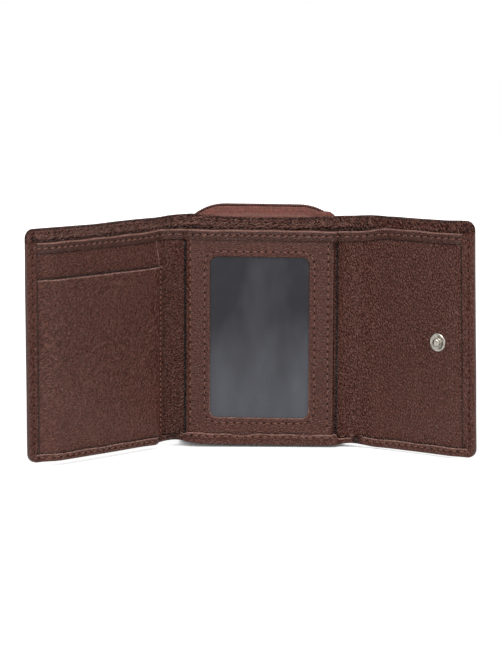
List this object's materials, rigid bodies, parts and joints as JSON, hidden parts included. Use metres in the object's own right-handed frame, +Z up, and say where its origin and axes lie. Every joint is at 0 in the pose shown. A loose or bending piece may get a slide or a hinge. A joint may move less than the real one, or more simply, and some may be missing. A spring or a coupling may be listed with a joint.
{
  "type": "trifold wallet",
  "caption": "Leather trifold wallet standing half open: card slot, ID window, bill compartment, snap closure and a zip-around coin pocket on the back.",
  "frame": {"origin": "middle of the centre panel's bottom edge, on the line of the panel's inner face, on the surface the wallet stands on", "axes": "+Z up along the wallet's height, +X to the right seen from the inside, +Y to the back, towards the coin pocket"},
  "size_m": [0.1905, 0.0768, 0.1036],
  "materials": {
    "shell_leather": "fine pebbled brown leather, semi-matt",
    "inner_leather": "fine pebbled brown leather, semi-matt",
    "lining_cloth": "dark brown woven lining",
    "window_film": "clear film over a grey insert",
    "zip_tape": "red-brown woven zip tape",
    "zip_coil": "dark brown nylon coil",
    "zip_metal": "nickel-plated zinc",
    "snap_metal": "nickel-plated brass"
  },
  "bodies": {
    "centre": {"centre_shell": "shell_leather", "centre_inner_leather": "inner_leather", "centre_inner_lining": "lining_cloth", "centre_shell_lining": "lining_cloth", "centre_top_binding": "inner_leather", "id_pocket_frame": "inner_leather", "id_window_film": "window_film", "coin_front_tape": "zip_tape", "zip_front_coil": "zip_coil", "zip_front_stops": "zip_metal", "coin_front_lining": "lining_cloth", "coin_bottom_gusset": "shell_leather"},
    "left_fold": {"left_fold_shell": "shell_leather", "left_fold_inner_leather": "inner_leather", "left_fold_lining": "lining_cloth", "left_fold_top_binding": "inner_leather"},
    "left_flap": {"left_shell": "shell_leather", "left_inner_leather": "inner_leather", "left_inner_lining": "lining_cloth", "left_shell_lining": "lining_cloth", "left_top_binding": "inner_leather", "left_card_backing": "inner_leather", "left_card_pocket": "inner_leather", "snap_socket": "snap_metal", "snap_socket_post": "snap_metal"},
    "right_fold": {"right_fold_shell": "shell_leather", "right_fold_inner_leather": "inner_leather", "right_fold_lining": "lining_cloth", "right_fold_top_binding": "inner_leather"},
    "right_flap": {"right_shell": "shell_leather", "right_inner_leather": "inner_leather", "right_inner_lining": "lining_cloth", "right_shell_lining": "lining_cloth", "right_top_binding": "inner_leather", "snap_stud": "snap_metal", "snap_stud_post": "snap_metal"},
    "coin_panel": {"coin_panel_leather": "shell_leather", "coin_panel_lining": "lining_cloth", "coin_rear_tape": "zip_tape", "zip_rear_coil": "zip_coil", "zip_rear_stops": "zip_metal"},
    "slider": {"zip_slider": "zip_metal", "zip_slider_bail": "zip_metal"},
    "puller": {"zip_pull_ring": "zip_metal", "zip_pull_tab": "zip_metal"}
  },
  "joints": [
    {"name": "left_fold_centre_crease", "type": "hinge", "parent": "centre", "child": "left_fold", "pos_m": [-0.03725, 0, 0], "axis": [0, 0, 1], "range_deg": [-22, 68]},
    {"name": "left_fold_flap_crease", "type": "hinge", "parent": "left_fold", "child": "left_flap", "pos_m": [-0.04356, -0.00255, 0], "axis": [0, 0, 1], "range_deg": [-22, 68]},
    {"name": "right_fold_centre_crease", "type": "hinge", "parent": "centre", "child": "right_fold", "pos_m": [0.03725, 0, 0], "axis": [0, 0, -1], "range_deg": [-17, 73]},
    {"name": "right_fold_flap_crease", "type": "hinge", "parent": "right_fold", "child": "right_flap", "pos_m": [0.04901, -0.0036, 0], "axis": [0, 0, -1], "range_deg": [-17, 73]},
    {"name": "coin_pocket_opening", "type": "hinge", "parent": "centre", "child": "coin_panel", "pos_m": [0, 0.02065, 0.0014], "axis": [-1, 0, 0], "range_deg": [0, 60]},
    {"name": "zip_slider_run", "type": "slide", "parent": "centre", "child": "slider", "axis": [0, 0, 1], "range_m": [0, 0.058]},
    {"name": "zip_pull_swing", "type": "hinge", "parent": "slider", "child": "puller", "pos_m": [-0.04035, 0.0142, 0.0181], "axis": [0, 1, 0], "range_deg": [0, 160]}
  ],
  "couplings": [
    {"joint": "left_fold_flap_crease", "follows": "left_fold_centre_crease", "ratio": 1},
    {"joint": "right_fold_flap_crease", "follows": "right_fold_centre_crease", "ratio": 1}
  ]
}
